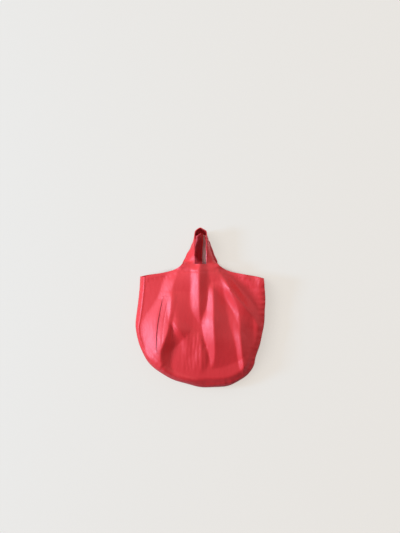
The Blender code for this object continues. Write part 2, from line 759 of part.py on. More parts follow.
def build_bag():
    clear_scene()
    cloth = cloth_material("red_cloth", CLOTH_COLOUR)
    lining = cloth_material("lining_cloth", LINING_COLOUR)
    tape = cloth_material("seam_tape", TAPE_COLOUR)

    back_sides = side_outline()
    count = len(back_sides)
    insets = [seam_inset(index / (count - 1)) for index in range(count)]
    front_sides = inset_outline(back_sides, insets)
    front_facing = facing_outline(NECK_LEFT, NECK_RIGHT)
    back_facing = facing_outline(BACK_NECK_LEFT, BACK_NECK_RIGHT)

    make_front_panel(front_sides, front_facing, cloth)
    make_back_panel(back_sides, back_facing, cloth)
    make_gusset(back_sides, front_sides, cloth)
    make_seam_tape("front_seam_tape", front_sides,
                   lambda point: front_face(point.x, point.y) + PANEL_THICKNESS + GAP, 1, tape)
    make_seam_tape("back_seam_tape", back_sides,
                   lambda point: -PANEL_THICKNESS - GAP, -1, tape)

    seat = PANEL_THICKNESS + GAP
    cloth_sheet("front_neck_facing", front_facing, [], PANEL_PITCH, [],
                front_offset(seat), front_offset(seat + FACING_THICKNESS), lining)
    cloth_sheet("back_neck_facing", back_facing, [], PANEL_PITCH, [],
                lambda point: -seat, lambda point: -seat - FACING_THICKNESS, lining)
    make_pocket(lining)

    front_legs = (NECK_LEFT - FRONT_SLOT_WIDTH / 2, NECK_RIGHT - FRONT_SLOT_WIDTH / 2)
    front_edges = loop_edges(FRONT_LOOP_SHARES, FRONT_TOP_SHARES, FRONT_LOOP_RISE,
                             FRONT_SLOT_WIDTH / 2, (0.0, 0.0), front_legs, -NECK_DEPTH, False)
    make_loop("front_handle", front_edges, -1, Vector((0.0, -NECK_DEPTH, NECK_Z)), cloth, lining)
    back_edges = loop_edges(BACK_LOOP_SHARES, BACK_TOP_SHARES, BACK_LOOP_RISE,
                            BACK_SLOT_WIDTH / 2, (BACK_SLOT_SHIFT, BACK_TOP_SHIFT),
                            (BACK_LEG_LEFT, BACK_LEG_RIGHT), 0.0, True)
    make_loop("back_handle", back_edges, 1, Vector((0.0, 0.0, NECK_Z)), cloth, lining)


build_bag()
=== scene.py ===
import math

import bpy
import numpy as np
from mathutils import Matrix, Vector
from mathutils.geometry import delaunay_2d_cdt


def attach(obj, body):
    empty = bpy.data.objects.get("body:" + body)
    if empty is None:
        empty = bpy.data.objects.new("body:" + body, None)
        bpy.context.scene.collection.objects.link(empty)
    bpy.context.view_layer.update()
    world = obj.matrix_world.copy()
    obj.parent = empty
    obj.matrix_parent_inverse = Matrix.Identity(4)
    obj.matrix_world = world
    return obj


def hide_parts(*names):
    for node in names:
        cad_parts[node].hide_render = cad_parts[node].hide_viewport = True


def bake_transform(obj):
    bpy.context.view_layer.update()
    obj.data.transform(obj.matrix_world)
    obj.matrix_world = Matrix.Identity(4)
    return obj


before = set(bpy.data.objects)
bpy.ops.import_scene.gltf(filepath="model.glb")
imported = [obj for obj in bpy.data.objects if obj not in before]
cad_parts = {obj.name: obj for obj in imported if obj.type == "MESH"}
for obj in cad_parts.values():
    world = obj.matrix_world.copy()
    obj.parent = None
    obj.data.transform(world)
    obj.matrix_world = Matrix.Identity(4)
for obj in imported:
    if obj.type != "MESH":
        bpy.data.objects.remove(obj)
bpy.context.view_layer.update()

scene = bpy.context.scene
MM = 0.001

# The bag's sizes, as its solids have them
HALF_WIDTH = 0.216
BODY_DROP = 0.407
NECK_Z = -0.113
NECK_LEFT = 0.0616
NECK_RIGHT = 0.0583
SEAM_INSET_LEFT = 0.016
SEAM_INSET_RIGHT = 0.003
CORNER_DEPTH = 0.047
BOTTOM_DEPTH = 0.056
NECK_DEPTH = 0.06
BELLY_DEPTH = 0.016
FRONT_SLOT = 0.04
BACK_SLOT = 0.024
BACK_SLOT_SHIFT = 0.018
BACK_TOP_SHIFT = 0.007
BACK_LEGS = (0.037, 0.027)
FRONT_RISE = 0.12
BACK_RISE = 0.11
BACK_NECK_LEFT = BACK_LEGS[0] + BACK_SLOT / 2 - BACK_SLOT_SHIFT
BACK_NECK_RIGHT = BACK_LEGS[1] + BACK_SLOT / 2 + BACK_SLOT_SHIFT
CLOTH = 0.0011
FACING = 0.0008
TAPE = 0.0006
GAP = 0.0003
SEAT = CLOTH + GAP
SLIT_TOP = NECK_Z - 0.107
SLIT_LENGTH = 0.187
POCKET_WIDTH = 0.13
POCKET_MARGIN = 0.012
POCKET_CORNER = 0.024
POCKET_BAG = 0.013
HEM_DEPTH = 0.015
FACING_DROP = 0.025
FACING_FLARE = 0.014
SEAM_ALLOWANCE = 0.008
# Share of the front folds' height that is left where the loop's feet start
FEET_SHARE = 0.4
# How far a loop's cloth arches across its width
LOOP_CROWN = 0.0022
LINING_INSET = 0.002

# Stitch lines: distance from a rim, from the slit and below the neck
HEM_STITCH = 0.0142
SLIT_STITCH = 0.0178
FACING_STITCH = 0.0245
FACING_STITCH_ENDS = (-0.054, 0.053)
STITCH_PITCH = 0.0037

# Mesh of the cloth: pitch, points across a loop, and distances of lines that it follows
PITCH = 0.0034
COLUMN_COUNT = 13
HEM_LINES = (0.0015, 0.013, HEM_STITCH, 0.0154, 0.0172)
SEAM_LINES = (0.0025, 0.006, 0.011)

# The bag's side outline, as shares of half its width and of its drop
OUTLINE_SHARES = (
    (-0.933, 0.103), (-0.94, 0.197), (-0.961, 0.3), (-0.985, 0.418), (-1.0, 0.516),
    (-0.951, 0.627), (-0.861, 0.749), (-0.736, 0.83), (-0.517, 0.913), (-0.228, 0.97),
    (0.054, 1.0), (0.331, 0.995), (0.509, 0.97), (0.685, 0.913), (0.808, 0.83),
    (0.847, 0.749), (0.921, 0.627), (0.968, 0.516), (0.99, 0.393), (1.0, 0.295),
    (0.99, 0.197), (0.981, 0.118),
)
# A rim from the neck to its corner, as shares of its run across and down
RIM_SHARES = (
    (0.0, 0.0), (0.03, 0.11), (0.09, 0.25), (0.18, 0.41), (0.32, 0.56),
    (0.56, 0.71), (0.83, 0.86), (1.0, 1.0),
)
# A loop from foot to top: rise, half slot, leg width, turn of left and right leg, dip
FRONT_LOOP_SHARES = (
    (0, 1, 1, 0, 0, 0), (0.045, 1, 1.08, 0.34, 0.42, 0), (0.1, 1, 1.15, 0.46, 0.56, 0),
    (0.21, 1, 1.18, 0.59, 0.67, 0), (0.32, 1, 1.2, 0.7, 0.75, 0),
    (0.43, 1, 1.2, 0.8, 0.81, 0), (0.54, 1, 1.15, 0.88, 0.85, 0),
    (0.65, 1, 1.15, 0.96, 0.89, 0.02), (0.76, 1, 1.17, 1.02, 0.94, 0.06),
    (0.87, 0.97, 1.14, 1.03, 1, 0.14), (0.92, 0.86, 1.06, 1.02, 1, 0.22),
    (0.96, 0.56, 0.96, 1.01, 1, 0.28), (0.985, 0.27, 0.88, 1, 1, 0.32),
)
BACK_LOOP_SHARES = (
    (0, 1, 1, 0, 0, 0), (0.1, 1, 0.98, 0.04, 0.22, 0), (0.21, 0.98, 0.95, 0.16, 0.46, 0),
    (0.32, 0.93, 0.92, 0.27, 0.6, 0), (0.43, 0.83, 0.89, 0.32, 0.65, 0),
    (0.54, 0.64, 0.86, 0.35, 0.66, 0), (0.7, 0.34, 0.83, 0.38, 0.69, 0.03),
    (0.84, 0.16, 0.79, 0.4, 0.83, 0.09), (0.93, 0.12, 0.77, 0.46, 0.95, 0.15),
    (0.983, 0.08, 0.76, 0.75, 1, 0.2),
)
# The same at the top of a loop: rise, leg width, dip
FRONT_TOP_SHARES = (1, 0.84, 0.33)
BACK_TOP_SHARES = (1, 0.76, 0.22)

# Folds of the front panel, in millimetres: how sharp the crest is, then points along the
# crest with x, z, height, and the fold's width to the left and to the right
FRONT_FOLDS = {
    "centre": (0.75, (
        (-4, -113, 7, 28, 26), (-4, -140, 10, 30, 26), (-4, -180, 12, 30, 25),
        (-4, -220, 13, 32, 24), (-4, -255, 12, 30, 24), (-3, -280, 8, 20, 22),
        (-1, -300, 3, 10, 18), (0, -312, 0, 8, 18))),
    "neck": (0.1, (
        (-2, -112, 6, 58, 58), (-2, -125, 8, 66, 64), (-2, -145, 9, 75, 75),
        (-4, -172, 6, 80, 75), (-4, -205, 1, 75, 70), (-4, -225, 0, 60, 60))),
    "middle": (0.95, (
        (42, -172, 1, 14, 34), (42, -200, 9, 17, 36), (43, -233, 14, 21, 48),
        (43, -266, 18, 28, 62), (43, -300, 23, 40, 76), (44, -333, 24, 38, 92),
        (46, -366, 22, 33, 116), (47, -400, 15, 24, 118), (45, -433, 7, 14, 80),
        (42, -458, 0, 12, 24))),
    "long": (0.7, (
        (76, -140, 0, 20, 25), (84, -160, 4, 20, 28), (97, -200, 8, 23, 32),
        (112, -235, 11, 32, 38), (124, -265, 14, 40, 42), (129, -300, 17, 38, 44),
        (131, -340, 16, 28, 42), (134, -380, 14, 20, 38), (138, -420, 13, 17, 34),
        (142, -455, 10, 14, 26), (146, -478, 4, 10, 18))),
    "left": (0.5, (
        (-66, -118, 2, 26, 40), (-74, -140, 9, 34, 50), (-84, -166, 14, 40, 60),
        (-93, -200, 15, 42, 66), (-96, -233, 13, 52, 66), (-99, -266, 13, 72, 70),
        (-103, -300, 14, 92, 78), (-107, -333, 15, 94, 78), (-118, -366, 15, 77, 57),
        (-130, -400, 14, 57, 36), (-131, -433, 12, 50, 33), (-126, -455, 10, 46, 32),
        (-116, -475, 7, 40, 30), (-106, -495, 2, 36, 28))),
    "left_edge": (0.5, (
        (-93, -200, 0, 42, 20), (-96, -233, 4, 52, 18), (-99, -266, 5, 72, 16),
        (-103, -300, 7, 92, 14), (-107, -333, 10, 94, 13), (-118, -366, 12, 77, 22),
        (-130, -400, 10, 57, 32), (-131, -433, 7, 50, 33), (-126, -455, 4, 46, 32),
        (-116, -475, 0, 40, 30))),
    "tail": (0.3, (
        (-84, -205, 0, 30, 60), (-82, -235, 7, 30, 68), (-80, -275, 9, 30, 74),
        (-76, -310, 7, 28, 70), (-72, -345, 3, 26, 60), (-70, -390, 0, 30, 50))),
    "low_left": (0.5, (
        (-94, -290, 0, 10, 30), (-84, -310, 4, 15, 44), (-68, -333, 7, 20, 60),
        (-51, -358, 6, 24, 58), (-44, -380, 4, 25, 42), (-42, -405, 2, 20, 26),
        (-42, -425, 0, 18, 18))),
    "low_middle": (0.4, (
        (-8, -335, 0, 16, 18), (0, -365, 5, 32, 17), (4, -400, 7, 38, 16), (5, -435, 6, 42, 16),
        (4, -472, 1, 40, 16), (2, -490, 0, 30, 16))),
    "low_small": (0.4, (
        (17, -384, 0, 9, 7), (17, -404, 3, 10, 9), (18, -430, 3, 10, 9), (18, -458, 0, 9, 7))),
    "corner": (0.4, (
        (212, -135, 15, 56, 8), (213, -165, 19, 58, 8), (214, -185, 17, 56, 8),
        (214, -210, 10, 52, 8), (214, -240, 4, 44, 8), (213, -270, 1, 34, 8),
        (212, -300, 0, 20, 8))),
    "rim": (0.4, (
        (140, -134, 5, 26, 24), (150, -150, 8, 30, 26), (162, -172, 5, 30, 24),
        (172, -195, 0, 24, 20))),
    "slant": (0.5, (
        (52, -120, 0, 30, 26), (64, -143, 10, 40, 28), (78, -166, 17, 48, 30),
        (92, -189, 21, 50, 34), (110, -212, 21, 50, 37), (131, -237, 19, 50, 37),
        (153, -263, 15, 50, 33), (173, -290, 9, 48, 24), (190, -318, 5, 45, 16),
        (201, -345, 0, 30, 10))),
}
# Folds of the back panel, the same way, as heights into the bag
BACK_FOLDS = {
    "centre": (0.3, (
        (14, -113, 1, 30, 30), (8, -160, 4, 34, 34), (2, -230, 5, 40, 40),
        (-4, -310, 4, 50, 50), (-8, -400, 0, 50, 50))),
    "left": (0.4, (
        (-30, -125, 0, 20, 20), (-60, -170, 4, 34, 30), (-90, -230, 6, 50, 44),
        (-112, -300, 6, 60, 56), (-124, -370, 5, 60, 60), (-130, -440, 0, 50, 50))),
    "right": (0.4, (
        (62, -125, 0, 20, 20), (84, -170, 4, 30, 34), (112, -230, 6, 44, 50),
        (132, -300, 6, 50, 54), (140, -370, 5, 50, 50), (140, -440, 0, 40, 40))),
    "low": (0.3, (
        (40, -330, 0, 30, 30), (44, -370, 4, 36, 36), (40, -430, 4, 36, 36),
        (36, -480, 0, 30, 30))),
}


def smooth_step(value):
    held = np.clip(value, 0.0, 1.0)
    return held * held * (3 - 2 * held)


def ramp(value, start, width):
    """0 up to the start, 1 from a width further on, and smooth between."""
    return smooth_step((value - start) / width)


def near(distance, reach):
    """1 at no distance, falling smoothly to 0 at the reach."""
    return 1 - smooth_step(distance / reach)


def bump(value, middle, width):
    return np.exp(-((value - middle) / width) ** 2)


def wave(value, length, phase=0.0):
    return np.sin(2 * np.pi * value / length + phase)


def unit(vectors):
    return vectors / np.linalg.norm(vectors, axis=-1, keepdims=True)


def in_space(flat, y):
    """Points (x, z) of a panel with their Y."""
    return np.stack([flat[..., 0], y, flat[..., 1]], -1)


def smooth_curve(points, steps):
    """A Catmull-Rom curve through rows of numbers, ends included."""
    rows = np.asarray(points, float)
    padded = np.concatenate([rows[:1], rows, rows[-1:]])
    before, start, end, after = (padded[i:i + len(rows) - 1, None] for i in range(4))
    t = (np.arange(steps) / steps)[None, :, None]
    curve = 0.5 * (2 * start + (end - before) * t
                   + (2 * before - 5 * start + 4 * end - after) * t * t
                   + (3 * start - before - 3 * end + after) * t ** 3)
    return np.concatenate([curve.reshape(-1, rows.shape[1]), rows[-1:]])


def run_length(run):
    """Length along a run of points up to each of them."""
    steps = np.linalg.norm(np.diff(run, axis=0), axis=1)
    return np.concatenate([[0.0], np.cumsum(steps)])


def evenly(run, pitch):
    """The same run with points about one pitch apart."""
    length = run_length(run)
    count = max(int(round(length[-1] / pitch)), 1)
    marks = np.linspace(0, length[-1], count + 1)
    return np.stack([np.interp(marks, length, run[:, i]) for i in range(run.shape[1])], 1)


def edge_normals(run):
    """Unit normals in the XZ plane, to the left of a run of points."""
    along = np.gradient(run, axis=0)
    return unit(np.stack([-along[:, 1], along[:, 0]], 1))


def offset_run(run, distance, side=1):
    return run + edge_normals(run) * distance * side


def front_side_outline():
    """The seam line of the front panel, inside the bag's side outline."""
    position = np.linspace(0, 1, len(SIDES))
    change = ramp(position, 0.25, 0.5)
    inset = SEAM_INSET_LEFT + (SEAM_INSET_RIGHT - SEAM_INSET_LEFT) * change
    inset = inset - 0.007 * bump(position, 0.24, 0.07)
    return offset_run(SIDES, inset[:, None])


def rim_run(neck_x, corner):
    shares = np.array(RIM_SHARES)
    points = np.stack([neck_x + shares[:, 0] * (corner[0] - neck_x),
                       NECK_Z + shares[:, 1] * (corner[1] - NECK_Z)], 1)
    return smooth_curve(points, 8)


def nearest_on_run(points, run):
    """Distance from each point to a run, and how far along the run the nearest place is."""
    start = run[:-1]
    along = run[1:] - start
    length = np.maximum((along ** 2).sum(1), 1e-18)
    to_point = points[:, None, :] - start[None]
    share = np.clip((to_point * along[None]).sum(2) / length, 0, 1)
    gap = to_point - share[..., None] * along[None]
    distance = np.sqrt((gap ** 2).sum(2))
    best = distance.argmin(1)
    rows = np.arange(len(points))
    place = run_length(run)[best] + share[rows, best] * np.sqrt(length[best])
    return distance[rows, best], place


def inside_ring(points, ring):
    """Which points lie inside a closed ring."""
    result = np.zeros(len(points), bool)
    start = np.roll(ring, 1, axis=0)
    for a, b in zip(start, ring):
        if a[1] == b[1]:
            continue
        level = (a[1] > points[:, 1]) != (b[1] > points[:, 1])
        crossing = a[0] + (points[:, 1] - a[1]) * (b[0] - a[0]) / (b[1] - a[1])
        result ^= level & (points[:, 0] < crossing)
    return result


def fold_height(x, z, folds):
    """Height of the folds over the flat cloth at each (x, z)."""
    height = np.zeros_like(x)
    for sharp, rows in folds.values():
        crest = smooth_curve(rows, 12) * MM
        crest = crest[np.argsort(crest[:, 1])]
        level = crest[:, 1]
        middle, left, right = (np.interp(z, level, crest[:, i]) for i in (0, 3, 4))
        top = np.interp(z, level, crest[:, 2], left=0.0)
        away = x - middle
        reach = np.clip(np.where(away < 0, -away / left, away / right), 0, 1)
        profile = sharp * (1 - reach) + (1 - sharp) * (1 - smooth_step(reach))
        height += np.maximum(top, 0) * profile
    return height


def crimps(x, z):
    """Height of the fine upright creases low on the front, over its rounded foot."""
    where = bump(x, -0.018, 0.046) * ramp(-z, 0.325, 0.03) * ramp(z, -0.478, 0.03)
    drift = 0.003 * wave(z, 0.15)
    fine = wave(x + drift, 0.0117)
    broad = 0.8 * wave(x - 1.6 * drift, 0.0189, 1.3)
    return 0.00032 * where * (fine + broad)


def front_base(x, z):
    """Y of the outer face of the front panel without its folds."""
    across = np.minimum(np.abs(x) / HALF_WIDTH, 1)
    down = np.clip((NECK_Z - z) / BODY_DROP, 0, 1)
    flat_half = NECK_LEFT - 0.045 * smooth_step((NECK_Z - z) / 0.02)
    neck_share = 1 - ramp(np.abs(x), flat_half, 0.08)
    top = CORNER_DEPTH + (NECK_DEPTH - CORNER_DEPTH) * neck_share
    rest = top + (BOTTOM_DEPTH - top) * smooth_step(down)
    belly = BELLY_DEPTH * np.sin(np.pi * down) ** 1.2 * (1 - across * across)
    return -(rest + belly)


SIDES = smooth_curve([(across * HALF_WIDTH, NECK_Z - down * BODY_DROP)
                      for across, down in OUTLINE_SHARES], 12)
FRONT_SIDES = front_side_outline()
FRONT_RIMS = (rim_run(-NECK_LEFT, FRONT_SIDES[0]), rim_run(NECK_RIGHT, FRONT_SIDES[-1]))
BACK_RIMS = (rim_run(-BACK_NECK_LEFT, SIDES[0]), rim_run(BACK_NECK_RIGHT, SIDES[-1]))


def feet_lines(neck_left, neck_right, slot, shift=0.0):
    """The feet of a panel's loop: lines on its hinge height, left and right of the slot."""
    return [np.array([[left, NECK_Z], [right, NECK_Z]]) for left, right in (
        (-neck_left, shift - slot / 2), (shift + slot / 2, neck_right))]


FRONT_FEET = feet_lines(NECK_LEFT, NECK_RIGHT, FRONT_SLOT)
BACK_FEET = feet_lines(BACK_NECK_LEFT, BACK_NECK_RIGHT, BACK_SLOT, BACK_SLOT_SHIFT)


def slit_centre(share):
    swing = np.sin(1.806 * share)
    return np.stack([-0.57 * HALF_WIDTH - 0.022 * swing, SLIT_TOP - SLIT_LENGTH * share], 1)


SLIT_RUN = slit_centre(np.linspace(0, 1, 49))


def hem_relief(points, rims, sides_distance):
    """Height of the turned rim hems, with the dent of their stitch line."""
    height = np.zeros(len(points))
    clear = ramp(sides_distance, 0.004, 0.006)
    for run in rims:
        distance, place = nearest_on_run(points, run)
        turned = 1 - ramp(distance, HEM_DEPTH, 0.0022)
        dent = bump(distance, HEM_STITCH, 0.0012)
        ripple = wave(place, 0.0135, 1.5 * wave(place, 0.071))
        height += clear * (0.0007 * turned - 0.0006 * dent
                           + 0.0003 * ripple * bump(distance, 0.016, 0.006)
                           - 0.0007 * near(distance, 0.0016))
    return height


def seam_gathers(place):
    """The short wave of a side seam's gathers, the same in both pieces that it joins."""
    return wave(place, 0.0215, 2.1 * wave(place, 0.173))


def seam_pull(distance, place, length):
    """How far a panel turns in at its side seam, with the seam's gathers."""
    share = place / length
    low = ramp(share, 0.42, 0.1)
    right = ramp(share, 0.7, 0.1)
    upper_right = ramp(share, 0.82, 0.1)
    depth = 0.011 * low - 0.005 * right - 0.0042 * upper_right
    reach = 0.01 + 0.016 * low - 0.006 * right
    turn_in = depth * near(distance, reach) ** 1.5
    turn_in = turn_in + (0.0026 * low - 0.0014) * near(distance, 0.0045)
    rolled = ramp(share, 0.24, 0.05) * (1 - ramp(share, 0.47, 0.05))
    turn_in = turn_in - 0.003 * rolled * bump(distance, 0.0064, 0.005)
    strength = 0.15 + 0.85 * ramp(share, 0.45, 0.25) + 0.8 * bump(share, 0.34, 0.02)
    gathers = seam_gathers(place) + 0.7 * wave(place, 0.037, 1.0)
    return turn_in + 0.0009 * strength * gathers * np.exp(-distance / 0.013)


def feet_distance(points, feet):
    return np.minimum(*(nearest_on_run(points, foot)[0] for foot in feet))


def front_surface(points):
    """Y of the outer face of the front cloth, folds included."""
    x, z = points[:, 0], points[:, 1]
    distance, place = nearest_on_run(points, FRONT_SIDES)
    feet = feet_distance(points, FRONT_FEET)
    share = place / run_length(FRONT_SIDES)[-1]
    lower_left = ramp(share, 0.08, 0.08) * (1 - ramp(share, 0.46, 0.08))
    stiff = 0.65 - 0.55 * ramp(share, 0.8, 0.1) - 0.45 * lower_left
    held = 1 - stiff * near(distance, 0.022)
    calm = 1 - (1 - FEET_SHARE) * near(feet, 0.02)
    folds = fold_height(x, z, FRONT_FOLDS) * held * calm
    relief = hem_relief(points, FRONT_RIMS, distance) * smooth_step(feet / 0.01)
    facing_dent = (bump(z, NECK_Z - FACING_STITCH, 0.0012)
                   * (1 - ramp(np.abs(x + 0.001), 0.05, 0.008)))
    to_slit, along_slit = nearest_on_run(points, SLIT_RUN)
    side = np.sign(x - np.interp(z, SLIT_RUN[::-1, 1], SLIT_RUN[::-1, 0]))
    from_end = np.minimum(along_slit, run_length(SLIT_RUN)[-1] - along_slit)
    lips = (np.where(side > 0, 0.0009, -0.0016) * np.exp(-to_slit / 0.007)
            * smooth_step(from_end / 0.014))
    topstitch = 0.0004 * bump(to_slit, SLIT_STITCH, 0.0014) * (side > 0) * (from_end > 0)
    return (front_base(x, z) - folds - crimps(x, z) - relief + 0.0006 * facing_dent
            + seam_pull(distance, place, run_length(FRONT_SIDES)[-1]) - lips + topstitch)


def back_surface(points):
    """Y of the rear face of the back cloth, which hangs against the wall."""
    distance, place = nearest_on_run(points, SIDES)
    free = smooth_step(feet_distance(points, BACK_FEET) / 0.022)
    held = 0.2 + 0.8 * smooth_step(distance / 0.03)
    folds = fold_height(points[:, 0], points[:, 1], BACK_FOLDS) * free * held
    relief = hem_relief(points, BACK_RIMS, distance) - 0.0009
    pull = seam_pull(distance, place, run_length(SIDES)[-1])
    return np.minimum(relief * free - folds - 0.5 * pull, 0.0)


def inside_cloth(points, outline, holes):
    """Which points lie inside an outline and outside its holes."""
    keep = inside_ring(points, outline)
    for hole in holes:
        keep &= ~inside_ring(points, hole)
    return keep


def fill_outline(ring, holes, guides, pitch):
    """Triangles that fill a ring of (x, z) points, with holes and lines to follow."""
    points, edges = [], []
    closed = [ring] + holes
    for number, line in enumerate(closed + guides):
        first = len(points)
        points += list(line)
        edges += [(i, i + 1) for i in range(first, len(points) - 1)]
        if number < len(closed):
            edges.append((len(points) - 1, first))
    low, high = ring.min(0), ring.max(0)
    row_step = pitch * math.sqrt(3) / 2
    grid = []
    for row in range(int((high[1] - low[1]) / row_step) + 1):
        start = low[0] + (pitch / 2 if row % 2 else 0)
        columns = np.arange(start, high[0], pitch)
        grid.append(np.stack([columns, np.full(len(columns), low[1] + row * row_step)], 1))
    grid = np.concatenate(grid)
    grid = grid[inside_cloth(grid, ring, holes)]
    for run in [np.concatenate([line, line[:1]]) for line in closed] + guides:
        grid = grid[nearest_on_run(grid, run)[0] > 0.55 * pitch]
    points += list(grid)
    filled = delaunay_2d_cdt([Vector(point) for point in points], edges, [], 0, 1e-7)
    flat = np.array([tuple(point) for point in filled[0]])
    triangles = np.array([tuple(face) for face in filled[2]])
    centres = flat[triangles].mean(1)
    return flat, triangles[inside_cloth(centres, ring, holes)]


def grid_triangles(rows, columns):
    """Two triangles for each cell of a grid of points, row by row."""
    a = (np.arange(rows - 1)[:, None] * columns + np.arange(columns - 1)).ravel()
    b, c, d = a + 1, a + 1 + columns, a + columns
    return np.stack([a, b, c, a, c, d], 1).reshape(-1, 3)


def band_direction(side, turn, dip):
    """Unit vector across a loop's band, from its slot edge to its outer edge."""
    yaw = turn * math.pi / 2
    pitch = dip * math.pi / 2
    return np.array([side * math.cos(yaw) * math.cos(pitch),
                     math.sin(yaw) * math.cos(pitch), -math.sin(pitch)])


def loop_edges(rows, top, rise, slot_half, shift, legs, face_y, against_wall):
    """Slot edge and outer edge of a loop, left foot over the top to the right foot."""
    slot_edge, outer_edge = [], []
    left = [(-1, row) for row in rows]
    right = [(1, row) for row in reversed(rows)]
    crown = [(0, (top[0], 0.0, top[1], 1.0, 1.0, top[2]))]
    for side, (rise_share, half_share, width_share, *turns, dip) in left + crown + right:
        turn = turns[side > 0]
        leg = legs[side > 0] if side else sum(legs) / 2
        reach = band_direction(side, turn, dip) * (leg * width_share)
        centre = shift[0] + (shift[1] - shift[0]) * rise_share ** 2
        y = face_y - reach[1] - 0.001 * smooth_step(turn) if against_wall else face_y
        start = np.array([centre + side * slot_half * half_share, y,
                          NECK_Z + rise_share * rise])
        slot_edge.append(start)
        outer_edge.append(start + reach)
    return smooth_curve(slot_edge, 8), smooth_curve(outer_edge, 8)


def column_places(width):
    """Distances of a leg's columns from its slot edge, closer together at its edges."""
    edge = np.array([0.0, 0.0008, 0.0018, 0.0028])
    middle = np.linspace(0.0028, width - 0.0028, COLUMN_COUNT - 6)[1:-1]
    return np.concatenate([edge, middle, width - edge[::-1]])


def loop_patch(edges, inward, crown, start=0.0, thickness=CLOTH, rolled=True, inset=0.0):
    """A band between two edges as outer and inner points, row by row."""
    slot_edge, outer_edge = edges
    centre = (slot_edge + outer_edge) / 2
    across = outer_edge - slot_edge
    width = np.linalg.norm(across, axis=1)
    across /= width[:, None]
    normal = unit(np.cross(np.gradient(centre, axis=0), across) * inward)
    length = run_length(centre)
    count = len(centre)
    lifted = smooth_step(np.minimum(np.arange(count), np.arange(count)[::-1]) / 7)[:, None]
    columns = np.array([column_places(each) for each in width - 2 * inset]) + inset
    share = columns / width[:, None]
    arch = crown * lifted * (1 - (2 * share - 1) ** 2)
    ripple = 0.0006 * lifted * wave(length[:, None], 0.031, 5 * share)
    face = (slot_edge[:, None] + across[:, None] * columns[..., None]
            - normal[:, None] * (arch + ripple)[..., None])
    straight = np.array([0.0, -inward, 0.0])
    turn = unit(straight * (1 - lifted) + normal * lifted)[:, None]
    from_edge = np.minimum(columns - inset, width[:, None] - inset - columns)
    roll = 0.0013 * near(from_edge, 0.0018) * lifted * rolled
    outer = face + turn * start
    inner = outer + turn * (thickness + roll)[..., None]
    place = np.stack([columns, np.repeat(length[:, None], columns.shape[1], 1)], 2)
    return [outer.reshape(-1, 3), inner.reshape(-1, 3), grid_triangles(*columns.shape),
            place.reshape(-1, 2)]


def eased(patch):
    """A patch of the front loop with its feet out over the panel's folds."""
    outer, inner, triangles, place = patch
    folds = fold_height(outer[:, 0], np.full(len(outer), NECK_Z), FRONT_FOLDS)
    out = np.zeros_like(outer)
    out[:, 1] = -FEET_SHARE * folds * (1 - ramp(outer[:, 2], NECK_Z, 0.03))
    return [outer + out, inner + out, triangles, place]


def joined(patches):
    """Patches as one, with the points that they share made one."""
    outer, inner, place = (np.concatenate([patch[i] for patch in patches]) for i in (0, 1, 3))
    first = np.cumsum([0] + [len(patch[0]) for patch in patches])
    triangles = np.concatenate([patch[2] + start for patch, start in zip(patches, first)])
    keys = np.round(outer / 2e-6).astype(np.int64)
    first_of, number = np.unique(keys, axis=0, return_index=True, return_inverse=True)[1:]
    number = number.reshape(-1)
    return [outer[first_of], inner[first_of], number[triangles], place[first_of]]


def face_spreads(points, triangles):
    """Cross products of the triangles' sides, as long as twice the triangles' areas."""
    corner = points[triangles]
    return np.cross(corner[:, 1] - corner[:, 0], corner[:, 2] - corner[:, 0])


def new_object(name, points, faces, material):
    mesh = bpy.data.meshes.new(name)
    mesh.from_pydata(points, [], faces)
    mesh.update()
    mesh.materials.append(material)
    obj = bpy.data.objects.new(name, mesh)
    scene.collection.objects.link(obj)
    return obj


def set_cloth_place(mesh, places):
    """Stores each point's place on the cloth, which the materials' patterns follow."""
    where = mesh.attributes.new("cloth_place", "FLOAT_VECTOR", "POINT")
    where.data.foreach_set("vector", np.array(places, np.float32).ravel())


def cloth_piece(name, patch, material):
    """A closed piece of cloth from a patch: outer face, inner face and edges."""
    outer, inner, triangles, place = patch
    spread = face_spreads(outer, triangles)
    sound = np.linalg.norm(spread, axis=1) > 1e-12
    triangles, spread = triangles[sound], spread[sound]
    towards = (inner[triangles] - outer[triangles]).mean(1)
    if (spread * towards).sum() > 0:
        triangles = triangles[:, ::-1]
    border = {}
    for a, b, c in triangles.tolist():
        for start, end in ((a, b), (b, c), (c, a)):
            if border.pop((end, start), None) is None:
                border[start, end] = True
    count = len(outer)
    faces = triangles.tolist() + (triangles[:, ::-1] + count).tolist()
    faces += [(end, start, start + count, end + count) for start, end in border]
    obj = new_object(name, np.concatenate([outer, inner]).tolist(), faces, material)
    mesh = obj.data
    mesh.validate()
    mesh.shade_smooth()
    mesh.set_sharp_from_angle(angle=math.radians(50))
    both = np.concatenate([place, place])
    set_cloth_place(mesh, np.concatenate([both, np.zeros((len(both), 1))], 1))
    layer = mesh.uv_layers.new(name="cloth")
    corners = np.zeros(len(mesh.loops), np.int32)
    mesh.loops.foreach_get("vertex_index", corners)
    layer.data.foreach_set("uv", both[corners].astype(np.float32).ravel())
    return obj


def kept_run(run, mask):
    """The longest stretch of a run where the mask holds."""
    breaks = np.concatenate([[-1], np.flatnonzero(~mask), [len(mask)]])
    longest = np.diff(breaks).argmax()
    return run[breaks[longest] + 1:breaks[longest + 1]]


def rim_line(run, side, sides, distance, pitch, from_seam, below_neck, from_rim):
    """A line inside one rim, where it is far enough from seam, neck and rim."""
    line = evenly(offset_run(run, distance, side), pitch)
    clear = ((nearest_on_run(line, sides)[0] > from_seam) & (line[:, 1] < NECK_Z - below_neck)
             & (nearest_on_run(line, run)[0] > from_rim))
    return kept_run(line, clear)


